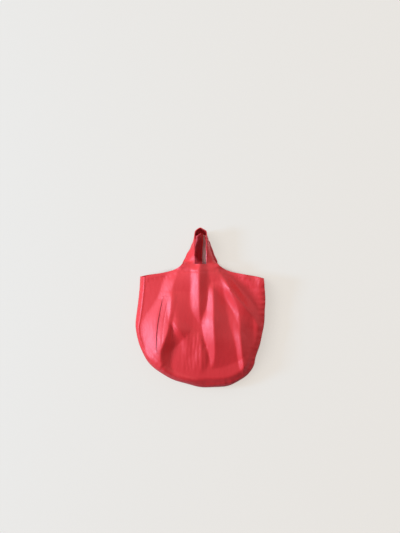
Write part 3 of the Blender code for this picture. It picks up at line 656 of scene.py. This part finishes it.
def panel_guides(rims, sides):
    """Lines for a panel's mesh to follow along its hems and side seams."""
    lines = [rim_line(run, side, sides, distance, PITCH, 0.0045, 0.003, 0.9 * distance)
             for run, side in zip(rims, (1, -1)) for distance in HEM_LINES]
    lines = [line for line in lines if len(line) > 2]
    for distance in SEAM_LINES:
        line = offset_run(sides, distance)
        clear = nearest_on_run(line, sides)[0] > 0.9 * distance
        for run in rims:
            clear &= nearest_on_run(line, run)[0] > 0.002
        lines.append(kept_run(line, clear))
    return lines


def panel_ring(rims, sides, feet):
    """A panel's closed outline through the columns of its loop's feet."""
    (outer_left, slot_left), (slot_right, outer_right) = feet[0][:, 0], feet[1][:, 0]
    left = slot_left - column_places(slot_left - outer_left)[::-1]
    right = slot_right + column_places(outer_right - slot_right)
    neck = np.concatenate([left, np.linspace(slot_left, slot_right, 9)[1:-1], right])
    neck = np.stack([neck, np.full(len(neck), NECK_Z)], 1)
    left_rim, right_rim = (evenly(rim, PITCH)[1:-1] for rim in rims)
    return np.concatenate([neck, right_rim, sides[::-1], left_rim[::-1]])


def panel_patch(rims, sides, feet, holes, guides, surface, thickness):
    ring = panel_ring(rims, sides, feet)
    flat, triangles = fill_outline(ring, holes, guides, PITCH)
    outer = in_space(flat, surface(flat))
    return [outer, outer + np.array([0.0, thickness, 0.0]), triangles, flat]


def snap_feet(panel, loop):
    """Moves the panel's points at the feet exactly onto the loop's first and last rows."""
    ends = [np.concatenate([face[:COLUMN_COUNT], face[-COLUMN_COUNT:]]) for face in loop[:2]]
    for point, inner_point in zip(*ends):
        gap = np.linalg.norm(panel[0] - point, axis=1)
        index = gap.argmin()
        if gap[index] < 1e-4:
            panel[0][index] = point
            panel[1][index] = inner_point


SLIT_LINE = evenly(SLIT_RUN, 0.004)


def slit_hole(half):
    share = np.linspace(0, 1, len(SLIT_LINE))
    reach = np.stack([half * (1 - np.abs(2 * share - 1) ** 6), 0 * share], 1)
    return np.concatenate([SLIT_LINE + reach, (SLIT_LINE - reach)[-2:0:-1]])


# Front cloth: panel and hand loop in one
front_guides = panel_guides(FRONT_RIMS, FRONT_SIDES)
front_guides += [np.stack([np.linspace(*FACING_STITCH_ENDS, 33), np.full(33, NECK_Z - drop)], 1)
                 for drop in (0.0233, FACING_STITCH, 0.0257)]
front_guides += [SLIT_LINE + np.array([shift, 0.0])
                 for shift in (-0.0055, 0.0055, 0.0164, SLIT_STITCH, 0.0192)]
front_panel = panel_patch(FRONT_RIMS, FRONT_SIDES, FRONT_FEET, [slit_hole(0.0011)],
                          front_guides, front_surface, CLOTH)
FRONT_LEGS = (NECK_LEFT - FRONT_SLOT / 2, NECK_RIGHT - FRONT_SLOT / 2)
front_edges = loop_edges(FRONT_LOOP_SHARES, FRONT_TOP_SHARES, FRONT_RISE, FRONT_SLOT / 2,
                         (0.0, 0.0), FRONT_LEGS, -NECK_DEPTH, False)
front_loop = eased(loop_patch(front_edges, -1, LOOP_CROWN))
snap_feet(front_panel, front_loop)

# Back cloth, which lies against the wall
back_panel = panel_patch(BACK_RIMS, SIDES, BACK_FEET, [], panel_guides(BACK_RIMS, SIDES),
                         back_surface, -CLOTH)
back_edges = loop_edges(BACK_LOOP_SHARES, BACK_TOP_SHARES, BACK_RISE, BACK_SLOT / 2,
                        (BACK_SLOT_SHIFT, BACK_TOP_SHIFT), BACK_LEGS, 0.0, True)
back_loop = loop_patch(back_edges, 1, 0.0)
snap_feet(back_panel, back_loop)


def feed(tree, node, inputs):
    """Gives a node's inputs constants or links; a node stands for its first output."""
    for key, value in inputs.items():
        if isinstance(value, bpy.types.Node):
            value = value.outputs[0]
        if isinstance(value, bpy.types.NodeSocket):
            tree.links.new(value, node.inputs[key])
        else:
            node.inputs[key].default_value = value


def add_node(tree, kind, inputs=None):
    node = tree.nodes.new("ShaderNode" + kind)
    feed(tree, node, inputs or {})
    return node


def math_node(tree, operation, *inputs):
    node = add_node(tree, "Math")
    node.operation = operation
    feed(tree, node, dict(enumerate(inputs)))
    return node.outputs[0]


def colour_mix(tree, share, first, second):
    node = add_node(tree, "Mix")
    node.data_type = "RGBA"
    feed(tree, node, {"Factor": share, "A": first, "B": second})
    return node.outputs["Result"]


def map_range(tree, value, limits):
    """A value moved from its own range, 0 to 1 by default, into another."""
    return add_node(tree, "MapRange", {"Value": value, **limits}).outputs["Result"]


def weave_height(tree, place):
    """Height of a plain weave at 0.9 mm, from two crossed waves."""
    waves = []
    for direction in ("X", "Y"):
        bands = add_node(tree, "TexWave", {"Vector": place, "Scale": 350.0, "Distortion": 0.6,
                                           "Detail": 1.0, "Detail Scale": 0.3})
        bands.wave_type = "BANDS"
        bands.bands_direction = direction
        waves.append(bands.outputs["Fac"])
    return math_node(tree, "MULTIPLY", *waves)


def cloth_material(name, deep, pale, roughness, sheen):
    """Dry woven cotton: weave, small creases and a little unevenness of its dye."""
    material = bpy.data.materials.new(name)
    material.use_nodes = True
    tree = material.node_tree
    attribute = add_node(tree, "Attribute")
    attribute.attribute_name = "cloth_place"
    place = attribute.outputs["Vector"]
    weave = weave_height(tree, place)
    dye = add_node(tree, "TexNoise", {"Vector": place, "Scale": 22.0, "Detail": 4.0})
    drawn = add_node(tree, "Mapping", {"Vector": place, "Scale": (1.0, 0.35, 1.0)})
    creases = add_node(tree, "TexNoise", {"Vector": drawn, "Scale": 95.0, "Detail": 3.0,
                                          "Roughness": 0.5})
    creased = add_node(tree, "Bump", {"Height": creases, "Strength": 0.4, "Distance": 0.0018})
    woven = add_node(tree, "Bump", {"Height": weave, "Strength": 0.25, "Distance": 0.0002,
                                    "Normal": creased})
    feed(tree, tree.nodes["Principled BSDF"], {
        "Base Color": colour_mix(tree, math_node(tree, "MULTIPLY_ADD", weave, 0.35, dye),
                                 deep, pale),
        "Roughness": map_range(tree, dye, {"To Min": roughness - 0.06,
                                           "To Max": roughness + 0.06}),
        "Normal": woven,
        "Sheen Weight": sheen, "Sheen Roughness": 0.45, "Sheen Tint": (1.0, 0.62, 0.62, 1.0),
        "Specular IOR Level": 0.85, "Specular Tint": (1.0, 0.8, 1.0, 1.0)})
    return material


CLOTH_MATERIAL = cloth_material(
    "red_cotton", (0.82, 0.027, 0.032, 1.0), (0.91, 0.036, 0.042, 1.0), 0.48, 0.05)
# Lining cotton: its own deep red, made darker still as painted shade for the shadowed inside of
# the loops.
LINING_WITH_PAINTED_SHADE = cloth_material(
    "lining_cotton_painted_shade", (0.5, 0.014, 0.02, 1.0), (0.58, 0.02, 0.026, 1.0), 0.7, 0.02)
TAPE_MATERIAL = cloth_material(
    "tape_cotton", (0.58, 0.036, 0.04, 1.0), (0.7, 0.046, 0.05, 1.0), 0.7, 0.08)
THREAD_MATERIAL = cloth_material(
    "sewing_thread", (0.62, 0.036, 0.042, 1.0), (0.74, 0.05, 0.058, 1.0), 0.45, 0.1)

front_cloth = cloth_piece("front_cloth", joined([front_panel, front_loop]), CLOTH_MATERIAL)
back_cloth = cloth_piece("back_cloth", joined([back_panel, back_loop]), CLOTH_MATERIAL)


def grid_patch(outer, inner):
    """A patch through rows of points of equal count."""
    rows, columns = outer.shape[:2]
    across = np.concatenate([np.zeros((rows, 1)),
                             np.cumsum(np.linalg.norm(np.diff(outer, axis=1), axis=2), 1)], 1)
    along = run_length(outer[:, columns // 2])
    place = np.stack([across, np.repeat(along[:, None], columns, 1)], 2)
    return [outer.reshape(-1, 3), inner.reshape(-1, 3), grid_triangles(rows, columns),
            place.reshape(-1, 2)]


def grid_normals(grid):
    return unit(np.cross(np.gradient(grid, axis=0), np.gradient(grid, axis=1)))


# Places of the gusset's columns, as shares of its width from the front seam to the back one
GUSSET_SHARES = np.array([0.0, 0.035, 0.08, 0.14, 0.22, 0.32, 0.44, 0.56, 0.68, 0.78, 0.86,
                          0.92, 0.965, 1.0])


def seam_row(sides, surface, seat, reach=0.0):
    """A side outline moved in by a reach, seated off a panel's face."""
    flat = offset_run(sides, reach)
    return in_space(flat, surface(flat) + seat)


def near_seam(share):
    """Strength of gathers beside a seam, at a share of the gusset's width from it."""
    return np.exp(-share / 0.12) * (1 - np.exp(-share / 0.03))


def gusset_rows():
    """Rows of points across the gusset, with its seam allowances turned in at both ends."""
    t = GUSSET_SHARES
    place = run_length(SIDES)[:, None]
    tuck = 0.006 * (1 - 2 * np.sin(np.pi * place / place[-1])) / 2 * np.sin(np.pi * t)
    roll = 0.0012 * (1 - np.exp(-t / 0.05)) * (1 - np.exp(-(1 - t) / 0.05))
    gathers = 0.0006 * seam_gathers(place) * (near_seam(t) + 0.6 * near_seam(1 - t))
    folds = 0.0008 * wave(place, 0.088, 2.5 * t) * np.sin(np.pi * t)
    inwards = tuck - roll + gathers + folds
    ends = ((FRONT_SIDES, front_surface, SEAT), (SIDES, back_surface, -SEAT))
    front, back = (seam_row(*end)[:, None, 1] for end in ends)
    y = front * (1 - t) + back * t
    t = t[:, None]
    across = 1 - (1 - t) ** 3
    normal = edge_normals(FRONT_SIDES)[:, None] * (1 - t) + edge_normals(SIDES)[:, None] * t
    flat = (FRONT_SIDES[:, None] * (1 - across) + SIDES[:, None] * across
            + normal * inwards[..., None])
    front_tip, back_tip = (seam_row(*end, SEAM_ALLOWANCE)[:, None] for end in ends)
    return np.concatenate([front_tip, in_space(flat, y), back_tip], 1)


gusset_grid = gusset_rows()
gusset_normal = grid_normals(gusset_grid)
middle = gusset_grid.shape[1] // 2
to_centre = np.array([0.0, -0.03, -0.3]) - gusset_grid[:, middle]
gusset_normal *= np.sign((gusset_normal[:, middle] * to_centre).sum())
gusset = cloth_piece("gusset_cloth",
                     grid_patch(gusset_grid, gusset_grid + gusset_normal * CLOTH),
                     CLOTH_MATERIAL)


def tape_patch(sides, surface, towards):
    """Tape over the seam allowances of a panel and the gusset, inside the bag."""
    rows = np.stack([seam_row(sides, surface, towards * 2 * SEAT, reach)
                     for reach in (0.0018, 0.007, 0.0122)], 1)
    return grid_patch(rows, rows + np.array([0.0, towards * TAPE, 0.0]))


front_tape = cloth_piece("front_tape", tape_patch(FRONT_SIDES, front_surface, 1),
                         TAPE_MATERIAL)
back_tape = cloth_piece("back_tape", tape_patch(SIDES, back_surface, -1), TAPE_MATERIAL)


def flat_piece(name, ring, surface, seat, pitch=0.005, holes=()):
    """A sheet of lining cloth inside the bag, seated off a panel's face along Y."""
    ring = np.array(ring)
    ring = evenly(np.concatenate([ring, ring[:1]]), pitch)[:-1]
    flat, triangles = fill_outline(ring, list(holes), [], pitch)
    outer = in_space(flat, surface(flat) + seat)
    inner = outer + np.array([0.0, math.copysign(FACING, seat), 0.0])
    return cloth_piece(name, [outer, inner, triangles, flat], LINING_WITH_PAINTED_SHADE)


def facing_ring(left, right):
    top = NECK_Z - GAP / 2
    foot = NECK_Z - FACING_DROP
    return [[-left + 0.003, top], [-left - FACING_FLARE, foot],
            [right + FACING_FLARE, foot], [right - 0.003, top]]


def lining_patch(edges, inward, crown):
    return loop_patch(edges, inward, crown, SEAT, FACING, False, LINING_INSET)


front_facing = flat_piece("front_facing", facing_ring(NECK_LEFT, NECK_RIGHT),
                          front_surface, SEAT)
back_facing = flat_piece("back_facing", facing_ring(BACK_NECK_LEFT, BACK_NECK_RIGHT),
                         back_surface, -SEAT)
front_lining = cloth_piece("front_lining", eased(lining_patch(front_edges, -1, LOOP_CROWN)),
                           LINING_WITH_PAINTED_SHADE)
back_lining = cloth_piece("back_lining", lining_patch(back_edges, 1, 0.0), LINING_WITH_PAINTED_SHADE)


def pocket_ring():
    left = slit_centre(np.array([0.87]))[0, 0] - POCKET_MARGIN
    right = left + POCKET_WIDTH
    top = SLIT_RUN[0, 1] + POCKET_MARGIN
    foot = SLIT_RUN[-1, 1] - POCKET_MARGIN
    corner = POCKET_CORNER
    ring = []
    centres = ((right - corner, top - corner), (left + corner, top - corner),
               (left + corner, foot + corner), (right - corner, foot + corner))
    for quarter, (x, z) in enumerate(centres):
        for step in range(9):
            angle = (quarter + step / 8) * math.pi / 2
            ring.append([x + math.cos(angle) * corner, z + math.sin(angle) * corner])
    return np.array(ring)


POCKET = pocket_ring()
POCKET_EDGE = np.concatenate([POCKET, POCKET[:1]])


def pocket_bag_surface(flat):
    """The front panel's face, moved in where the pocket's rear layer stands open."""
    depth = nearest_on_run(flat, POCKET_EDGE)[0] - 0.008
    return front_surface(flat) + POCKET_BAG * smooth_step(depth / 0.012)


slit_facing_ring = np.concatenate([SLIT_RUN + np.array([0.0022, 0.0]),
                                   (SLIT_RUN + np.array([0.0229, 0.0]))[::-1]])
pocket_facing = flat_piece("pocket_slit_facing", slit_facing_ring, front_surface, SEAT)
pocket_front = flat_piece("pocket_front", POCKET, front_surface, SEAT + FACING + GAP, 0.006,
                          [slit_hole(0.0035)])
pocket_back = flat_piece("pocket_back", POCKET, pocket_bag_surface,
                         SEAT + 2 * (FACING + GAP), 0.006)


# Stitches, each a short thread with tapered ends: share of its length, of its radius, lift
STITCH_RINGS = ((-0.5, 0.35, -0.00025), (-0.3, 1.0, 0.0001), (0.3, 1.0, 0.0001),
                (0.5, 0.35, -0.00025))
STITCH_SIDES = 6
STITCH_LENGTH = 0.0027
STITCH_RADIUS = 0.00032


def stitch_mesh(name, runs):
    """Short threads along runs, each run a pair of points and outward normals."""
    points, normals = (np.concatenate([run[i] for run in runs]) for i in (0, 1))
    along = unit(np.concatenate([np.gradient(run[0], axis=0) for run in runs]))
    side = np.cross(along, normals)
    vertices = []
    for share, scale, lift in STITCH_RINGS:
        centre = points + along * STITCH_LENGTH * share + normals * lift
        for step in range(STITCH_SIDES):
            angle = 2 * math.pi * step / STITCH_SIDES
            vertices.append(centre + STITCH_RADIUS * scale * (
                math.cos(angle) * side + 0.8 * math.sin(angle) * normals))
    count = len(vertices)
    last = range(count - STITCH_SIDES, count)
    stitch = []
    for a in range(last[0]):
        b = a + 1 if (a + 1) % STITCH_SIDES else a + 1 - STITCH_SIDES
        stitch.append((a, b, b + STITCH_SIDES, a + STITCH_SIDES))
    stitch += [tuple(range(STITCH_SIDES))[::-1], tuple(last)]
    faces = [tuple(first + corner for corner in face)
             for first in range(0, count * len(points), count) for face in stitch]
    vertices = np.stack(vertices, 1).reshape(-1, 3)
    obj = new_object(name, vertices.tolist(), faces, THREAD_MATERIAL)
    obj.data.shade_smooth()
    set_cloth_place(obj.data, vertices)
    return obj


def surface_run(flat, surface, outward):
    """Points on a panel's face and its normals there."""
    step = 0.001
    slope_x, slope_z = ((surface(flat + shift) - surface(flat - shift)) / (2 * step)
                        for shift in np.eye(2) * step)
    normals = np.stack([-slope_x, np.ones(len(flat)), -slope_z], 1) * outward
    return in_space(flat, surface(flat)), unit(normals)


def panel_stitches(rims, sides, surface, outward):
    return [surface_run(rim_line(run, side, sides, HEM_STITCH, STITCH_PITCH, 0.004, 0.002, 0.0135),
                        surface, outward)
            for run, side in zip(rims, (1, -1))]


def loop_stitches(patch):
    """Stitch runs along both edges of a loop's outer face."""
    grid = patch[0].reshape(-1, COLUMN_COUNT, 3)
    normals = grid_normals(grid)
    normals *= -np.sign((normals.reshape(-1, 3) * (patch[1] - patch[0])).sum())
    runs = []
    for column in (3, COLUMN_COUNT - 4):
        both = evenly(np.concatenate([grid[:, column], normals[:, column]], 1), STITCH_PITCH)
        runs.append((both[:, :3], unit(both[:, 3:])))
    return runs


facing_stitch = evenly(np.array([[x, NECK_Z - FACING_STITCH] for x in FACING_STITCH_ENDS]),
                       STITCH_PITCH)
slit_stitches = [evenly(SLIT_RUN + np.array([shift, 0.0]), STITCH_PITCH)
                 for shift in (SLIT_STITCH, 0.0038)]
bar_tacks = [evenly(np.array([[start[0] - 0.002, start[1] + drop],
                              [start[0] + SLIT_STITCH, start[1] + drop]]), 0.0016)
             for start, drop in ((SLIT_RUN[0], 0.001), (SLIT_RUN[0], -0.0005),
                                 (SLIT_RUN[-1], -0.001), (SLIT_RUN[-1], 0.0005))]
front_runs = panel_stitches(FRONT_RIMS, FRONT_SIDES, front_surface, -1)
front_runs += [surface_run(run, front_surface, -1)
               for run in [facing_stitch, *slit_stitches, *bar_tacks]]
front_stitching = stitch_mesh("front_stitching", front_runs + loop_stitches(front_loop))
back_stitching = stitch_mesh("back_stitching", panel_stitches(
    BACK_RIMS, SIDES, back_surface, 1) + loop_stitches(back_loop))


def cloth_length(surface, start, end):
    """Length of a panel's cloth between two (x, z) points, folds followed."""
    flat = np.linspace(start, end, 400)
    return run_length(in_space(flat, surface(flat)))[-1]


def flat_size(surface, sides, foot, loop_edge):
    """Width of a panel's cloth where it is widest, and its length with half its loop."""
    z = NECK_Z - 0.45 * BODY_DROP
    width = cloth_length(surface, (sides[:, 0].min(), z), (sides[:, 0].max(), z))
    drop = cloth_length(surface, (0.01, NECK_Z), (0.01, foot))
    return width, drop + run_length(loop_edge)[-1] / 2


front_flat = flat_size(front_surface, FRONT_SIDES, FRONT_SIDES[:, 1].min(), front_edges[1])
back_flat = flat_size(back_surface, SIDES, NECK_Z - BODY_DROP, back_edges[1])

# Each piece with the nodes it stands for, its slot, the loop it bends with and its support
PIECES = (
    (front_cloth, "front_panel front_handle", "cloth", "front_loop", "gusset_cloth"),
    (back_cloth, "back_panel back_handle", "cloth", "back_loop", "gusset_cloth"),
    (front_stitching, "", "cloth", "front_loop", None),
    (back_stitching, "", "cloth", "back_loop", None),
    (gusset, "gusset", "cloth", None, "front_cloth"),
    (front_facing, "front_neck_facing", "lining", None, "front_cloth"),
    (back_facing, "back_neck_facing", "lining", None, "back_cloth"),
    (front_lining, "front_handle_lining", "lining", "front_loop", "front_cloth"),
    (back_lining, "back_handle_lining", "lining", "back_loop", "back_cloth"),
    (pocket_facing, "pocket_facing", "lining", None, "front_cloth"),
    (pocket_front, "pocket_front_layer", "lining", None, "front_cloth"),
    (pocket_back, "pocket_back_layer", "lining", None, "pocket_front"),
    (front_tape, "front_seam_tape", "tape", None, "gusset_cloth"),
    (back_tape, "back_seam_tape", "tape", None, "gusset_cloth"),
)
for piece, nodes, slot, loop, support in PIECES:
    if nodes:
        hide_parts(*nodes.split())
    if loop:
        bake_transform(piece)
    else:
        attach(piece, "bag")

# Camera, level and square to the wall
VIEW_HEIGHT = 1.775
VIEW_DISTANCE = 4.0
camera_data = bpy.data.cameras.new("camera")
camera_data.sensor_width = 36.0
camera_data.lens = 36.0 * VIEW_DISTANCE / VIEW_HEIGHT
camera = bpy.data.objects.new("camera", camera_data)
camera.location = (-0.0017, -VIEW_DISTANCE - 0.02, -0.1215)
camera.rotation_euler = (math.pi / 2, 0.0, 0.0)
scene.collection.objects.link(camera)
scene.camera = camera

# Lamps aimed at the bag: a cool key from the left and two at the rear
CENTRE = (0.0, -0.04, -0.28)
KEY_AZIMUTH = math.radians(62)
KEY_DISTANCE = 4.6
KEY_PLACE = (-KEY_DISTANCE * math.sin(KEY_AZIMUTH), -KEY_DISTANCE * math.cos(KEY_AZIMUTH),
             CENTRE[2] + 0.15)
WHITE = (1.0, 1.0, 1.0)
for name, place, size, power, colour in (
        ("key", KEY_PLACE, 0.9, 212.0, (0.7, 0.83, 1.0)),
        ("rear_left", (-0.7, 2.0, 0.3), 1.2, 14.0, WHITE),
        ("rear_right", (0.7, 2.0, 0.5), 1.2, 18.0, WHITE)):
    data = bpy.data.lights.new(name, "AREA")
    data.color = colour
    data.shape = "RECTANGLE"
    data.size = data.size_y = size
    data.energy = power
    lamp = bpy.data.objects.new(name, data)
    lamp.location = place
    aim = Vector(CENTRE) - Vector(place)
    lamp.rotation_euler = aim.to_track_quat("-Z", "Y").to_euler()
    lamp.visible_camera = False
    scene.collection.objects.link(lamp)

world = bpy.data.worlds.new("world")
scene.world = world
world.use_nodes = True
world.cycles.sampling_method = "NONE"
sky = world.node_tree
direction = add_node(sky, "TexCoord")
height = add_node(sky, "SeparateXYZ", {0: direction})
felt = sky.nodes["Background"]
feed(sky, felt, {
    "Color": (1.0, 0.9, 0.82, 1.0),
    "Strength": map_range(sky, height.outputs["Z"], {
        "From Min": -0.6, "From Max": 0.6, "To Min": 0.17, "To Max": 0.83})})
seen = add_node(sky, "Background", {"Color": (0.87, 0.87, 0.85, 1.0)})
light_path = add_node(sky, "LightPath")
either = add_node(sky, "MixShader", {
    "Fac": light_path.outputs["Is Camera Ray"], 1: felt, 2: seen})
feed(sky, sky.nodes["World Output"], {"Surface": either})


def stage_material(name, felt_shade):
    """A pale surface, clear from behind, with painted shadow and shade: its glow dims where the
    bag blocks the left front and turns dark red in deep hollows; the shadows on its small lamp-lit
    part are real.
    """
    material = bpy.data.materials.new(name)
    material.use_nodes = True
    tree = material.node_tree
    tree.nodes.remove(tree.nodes["Principled BSDF"])
    # Painted shadow: occlusion towards the left front dims the glow. Painted shade: deep occlusion
    # mixes the glow's colour towards a dark red.
    facing = add_node(tree, "CombineXYZ", {"X": -0.75, "Y": -0.65, "Z": 0.1})
    hollow = add_node(tree, "AmbientOcclusion", {"Distance": 0.1, "Normal": facing})
    deep = add_node(tree, "AmbientOcclusion", {"Distance": 0.1})
    hollow.samples = deep.samples = 8
    openness = map_range(tree, deep.outputs["AO"], {"From Min": 0.36, "From Max": 0.48})
    painted_shade_colour = colour_mix(tree, openness, (0.19, 0.04, 0.036, 1.0), (0.755, 0.69, 0.625, 1.0))
    painted_shadow_strength = map_range(tree, hollow.outputs["AO"], {
        "From Min": 0.42, "From Max": 0.72, "To Min": 0.8})
    glow = add_node(tree, "Emission", {"Color": painted_shade_colour, "Strength": painted_shadow_strength})
    lit = add_node(tree, "BsdfDiffuse", {"Color": (0.08, 0.14, 0.18, 1.0)})
    seen_front = add_node(tree, "AddShader", {0: lit, 1: glow})
    plain = add_node(tree, "BsdfDiffuse", {"Color": (felt_shade, felt_shade, felt_shade, 1.0)})
    path = add_node(tree, "LightPath")
    by_ray = add_node(tree, "MixShader", {
        "Fac": path.outputs["Is Camera Ray"], 1: plain, 2: seen_front})
    face = add_node(tree, "NewGeometry")
    through = math_node(tree, "MAXIMUM", face.outputs["Backfacing"],
                        path.outputs["Is Shadow Ray"])
    clear = add_node(tree, "BsdfTransparent")
    by_side = add_node(tree, "MixShader", {"Fac": through, 1: by_ray, 2: clear})
    feed(tree, tree.nodes["Material Output"], {"Surface": by_side})
    return material


WALL_Y = 0.003
FLOOR_Z = -1.2
for name, corners, felt_shade in (
        ("wall", [(-3, WALL_Y, FLOOR_Z), (3, WALL_Y, FLOOR_Z), (3, WALL_Y, 2),
                  (-3, WALL_Y, 2)], 0.45),
        ("floor", [(-4, -4, FLOOR_Z), (4, -4, FLOOR_Z), (4, 4, FLOOR_Z),
                   (-4, 4, FLOOR_Z)], 0.12)):
    new_object(name, corners, [(0, 1, 2, 3)],
                        stage_material(name + "_paint", felt_shade))

scene.view_settings.view_transform = "Standard"
